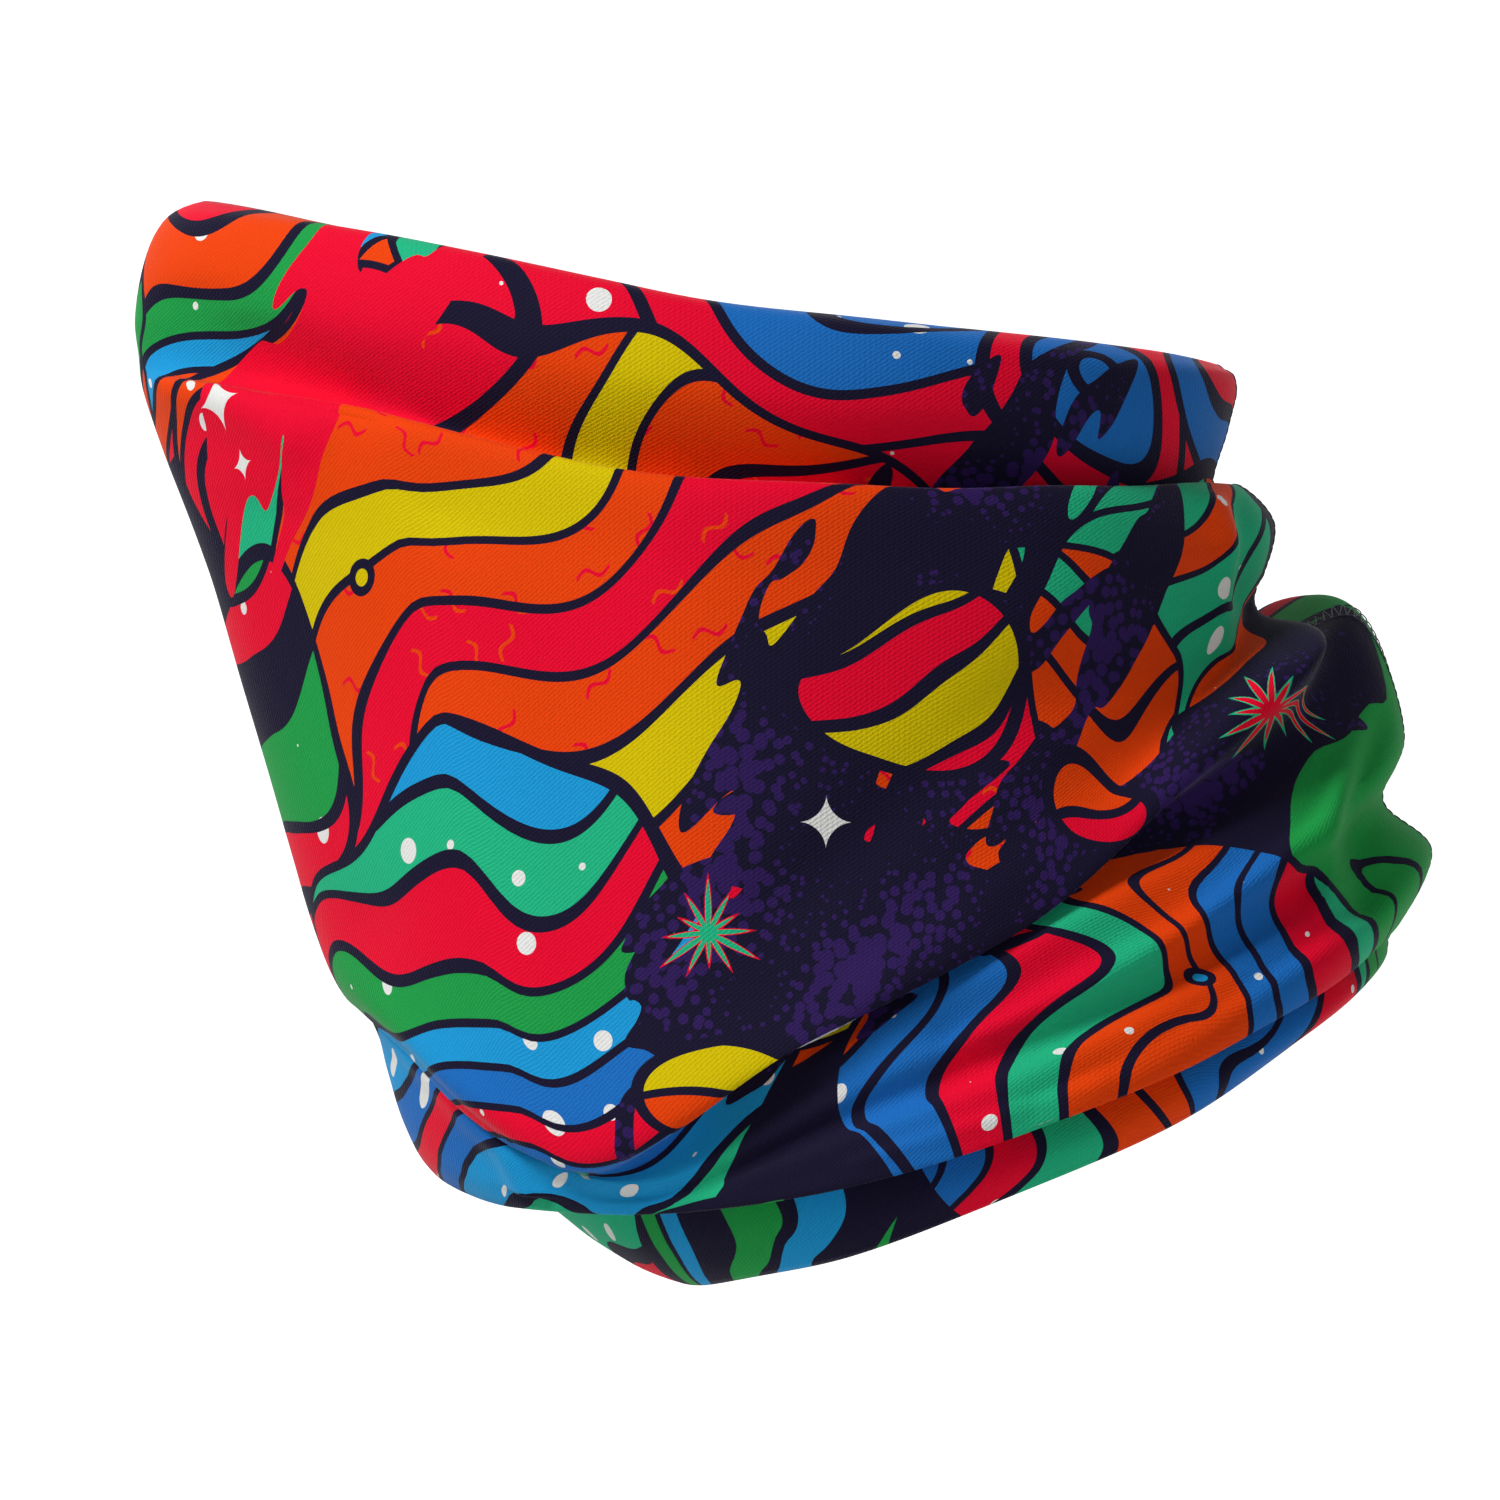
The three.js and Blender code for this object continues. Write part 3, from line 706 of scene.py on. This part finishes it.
def stitch_nodes():
    """Stitches down a line of edges whose points carry the direction out of the cloth."""
    tree = bpy.data.node_groups.new("flatlock stitches", "GeometryNodeTree")
    face = tree.interface
    face.new_socket("Line", in_out="INPUT", socket_type="NodeSocketGeometry")
    for label in ("Pitch", "Width", "Radius", "Arch", "Sink"):
        face.new_socket(label, in_out="INPUT", socket_type="NodeSocketFloat")
    face.new_socket("Seed", in_out="INPUT", socket_type="NodeSocketInt")
    face.new_socket("Thread", in_out="INPUT", socket_type="NodeSocketMaterial")
    face.new_socket("Stitches", in_out="OUTPUT", socket_type="NodeSocketGeometry")

    def node(kind, inputs=None, **settings):
        made = tree.nodes.new(kind)
        for setting, value in settings.items():
            setattr(made, setting, value)
        for key, value in (inputs or {}).items():
            if isinstance(value, bpy.types.NodeSocket):
                tree.links.new(value, made.inputs[key])
            else:
                made.inputs[key].default_value = value
        return made

    given = node("NodeGroupInput").outputs
    ends = node("ShaderNodeMath", {0: given["Sink"], 1: -1.0}, operation="MULTIPLY").outputs[0]
    half = node("ShaderNodeMath", {0: given["Width"], 1: 0.5}, operation="MULTIPLY").outputs[0]
    minus = node("ShaderNodeMath", {0: half, 1: -1.0}, operation="MULTIPLY").outputs[0]
    crown = node("ShaderNodeMath", {0: given["Arch"], 1: 2.0}, operation="MULTIPLY").outputs[0]
    half_step = node("ShaderNodeMath", {0: given["Pitch"], 1: 0.5}, operation="MULTIPLY").outputs[0]
    back = node("ShaderNodeMath", {0: half_step, 1: -1.0}, operation="MULTIPLY").outputs[0]
    profile = node("GeometryNodeCurvePrimitiveCircle", {"Resolution": 6, "Radius": given["Radius"]})

    def bowed(start, end):
        """A thread from start to end, bowed out of the cloth in between."""
        corner = [
            node("ShaderNodeCombineXYZ", {0: x, 1: y, 2: ends}).outputs[0] for x, y in (start, end)
        ]
        middle = node("ShaderNodeVectorMath", {0: corner[0], 1: corner[1]}, operation="ADD").outputs[0]
        middle = node("ShaderNodeVectorMath", {0: middle, "Scale": 0.5}, operation="SCALE").outputs[0]
        lift = node("ShaderNodeCombineXYZ", {0: 0.0, 1: 0.0, 2: crown}).outputs[0]
        middle = node("ShaderNodeVectorMath", {0: middle, 1: lift}, operation="ADD").outputs[0]
        line = node(
            "GeometryNodeCurveQuadraticBezier",
            {"Resolution": 7, "Start": corner[0], "Middle": middle, "End": corner[1]},
        )
        return node(
            "GeometryNodeCurveToMesh",
            {"Curve": line.outputs[0], "Profile Curve": profile.outputs[0], "Fill Caps": True},
        ).outputs[0]

    joined = node("GeometryNodeJoinGeometry")
    for start, end in (
        ((minus, back), (half, 0.0)),
        ((half, 0.0), (minus, half_step)),
        ((minus, back), (minus, half_step)),
        ((half, back), (half, half_step)),
    ):
        tree.links.new(bowed(start, end), joined.inputs[0])
    line = node("GeometryNodeMeshToCurve", {"Mesh": given["Line"]}).outputs[0]
    beads = node(
        "GeometryNodeResampleCurve", {"Curve": line, "Length": given["Pitch"]}, mode="LENGTH"
    ).outputs[0]
    out = node("GeometryNodeInputNamedAttribute", {"Name": "outward"}, data_type="FLOAT_VECTOR")
    along = node("GeometryNodeInputTangent").outputs[0]
    turned = node(
        "FunctionNodeAxesToRotation",
        {"Primary Axis": out.outputs[0], "Secondary Axis": along},
        primary_axis="Z",
        secondary_axis="Y",
    ).outputs[0]
    sway = node(
        "FunctionNodeRandomValue",
        {0: (0.0, 0.0, -STITCH_SWAY), 1: (0.0, 0.0, STITCH_SWAY), "Seed": given["Seed"]},
        data_type="FLOAT_VECTOR",
    ).outputs[0]
    turned = node(
        "FunctionNodeRotateRotation", {0: turned, 1: sway}, rotation_space="LOCAL"
    ).outputs[0]
    placed = node(
        "GeometryNodeInstanceOnPoints",
        {"Points": beads, "Instance": joined.outputs[0], "Rotation": turned},
    ).outputs[0]
    real = node("GeometryNodeRealizeInstances", {0: placed}).outputs[0]
    done = node("GeometryNodeSetMaterial", {"Geometry": real, "Material": given["Thread"]}).outputs[0]
    node("NodeGroupOutput", {0: done})
    return tree


seam_line = cloth[END_INSET_ROWS : len(numbers) - END_INSET_ROWS, 0]
seam_out = back_facing[END_INSET_ROWS : len(numbers) - END_INSET_ROWS, 0]
line_mesh = bpy.data.meshes.new("seam_line")
links = [(i, i + 1) for i in range(len(seam_line) - 1)]
line_mesh.from_pydata((seam_line * MM).tolist(), links, [])
line_mesh.attributes.new("outward", "FLOAT_VECTOR", "POINT").data.foreach_set(
    "vector", seam_out.ravel().astype(np.float32)
)
line_object = bpy.data.objects.new("seam_line", line_mesh)
bpy.context.collection.objects.link(line_object)
sewing = line_object.modifiers.new("flatlock stitches", "NODES")
sewing.node_group = stitch_nodes()
STITCH_INPUTS = {
    "Pitch": STITCH_PITCH * MM,
    "Width": STITCH_WIDTH * MM,
    "Radius": THREAD_RADIUS * MM,
    "Arch": THREAD_ARCH * MM,
    "Sink": THREAD_SINK * MM,
    "Seed": 7,
    "Thread": thread,
}
for socket in sewing.node_group.interface.items_tree:
    if socket.name in STITCH_INPUTS:
        sewing[socket.identifier] = STITCH_INPUTS[socket.name]
bpy.context.view_layer.update()
evaluated = line_object.evaluated_get(bpy.context.evaluated_depsgraph_get())
stitch_mesh = bpy.data.meshes.new_from_object(evaluated)
stitch_mesh.name = "flatlock_stitches"
stitch_mesh.polygons.foreach_set("use_smooth", [True] * len(stitch_mesh.polygons))
stitches = bpy.data.objects.new("flatlock_stitches", stitch_mesh)
bpy.context.collection.objects.link(stitches)
bpy.data.objects.remove(line_object)

for piece, node_name, slot_name in (
    (strip, "seam_allowance", "seam_knit"),
    (stitches, "flatlock_stitch_band", "seam_thread"),
):
    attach(piece, "root")
    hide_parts(node_name)

# ------------------------------------------------------------------ the studio
# A pale floor well below the piece, a white backdrop lit evenly, and soft light from the
# wearer's front, high on the left.
FLOOR_HEIGHT = -0.42  # m


def stage_plane(name, corners, glow):
    """One plain sheet of the studio. glow is the light that it gives by itself."""
    mesh = bpy.data.meshes.new(name)
    mesh.from_pydata(corners, [], [(0, 1, 2, 3)])
    made = bpy.data.objects.new(name, mesh)
    paint = bpy.data.materials.new(name)
    paint.use_nodes = True
    shader = paint.node_tree.nodes["Principled BSDF"]
    shader.inputs["Base Color"].default_value = linear("ECECEA")
    shader.inputs["Roughness"].default_value = 0.9
    shader.inputs["Emission Color"].default_value = (1, 1, 1, 1)
    shader.inputs["Emission Strength"].default_value = glow
    mesh.materials.append(paint)
    bpy.context.collection.objects.link(made)


stage_plane(
    "studio_floor",
    [(-6, -6, FLOOR_HEIGHT), (6, -6, FLOOR_HEIGHT), (6, 3, FLOOR_HEIGHT), (-6, 3, FLOOR_HEIGHT)],
    0.0,
)
stage_plane("studio_backdrop", [(-6, 3, -2), (6, 3, -2), (6, 3, 6), (-6, 3, 6)], 0.9)

world = bpy.data.worlds.new("studio")
world.use_nodes = True
world.node_tree.nodes["Background"].inputs["Color"].default_value = (1, 1, 1, 1)
world.node_tree.nodes["Background"].inputs["Strength"].default_value = 0.18
bpy.context.scene.world = world
bpy.context.scene.view_settings.view_transform = "Standard"

BEAM = 40.0  # degrees, so that little of the light reaches the floor


def lamp(name, place, size, power):
    """A square soft box aimed at the origin."""
    data = bpy.data.lights.new(name, "AREA")
    data.size = size
    data.energy = power
    data.spread = math.radians(BEAM)
    made = bpy.data.objects.new(name, data)
    made.location = place
    made.rotation_mode = "QUATERNION"
    made.rotation_quaternion = Vector(place).to_track_quat("Z", "Y")
    bpy.context.collection.objects.link(made)


lamp("key", (-1.9, -1.35, 1.9), 0.8, 4.5)
lamp("fill", (1.0, -2.2, 0.0), 1.2, 0.7)

CAMERA_DISTANCE = 2.4  # m, from the middle of the piece
FRAMED_WIDTH = 0.28125  # m across the picture
FRAMED_NEARER = 0.03  # the width is framed this far in front of the middle
SENSOR_WIDTH = 36  # mm
camera_data = bpy.data.cameras.new("camera")
camera_data.sensor_width = SENSOR_WIDTH
camera_data.lens = SENSOR_WIDTH * (CAMERA_DISTANCE - FRAMED_NEARER) / FRAMED_WIDTH
camera = bpy.data.objects.new("camera", camera_data)
camera.location = (-0.0062, -CAMERA_DISTANCE, -0.0013)
camera.rotation_euler = (math.pi / 2, 0, 0)
bpy.context.collection.objects.link(camera)
bpy.context.scene.camera = camera
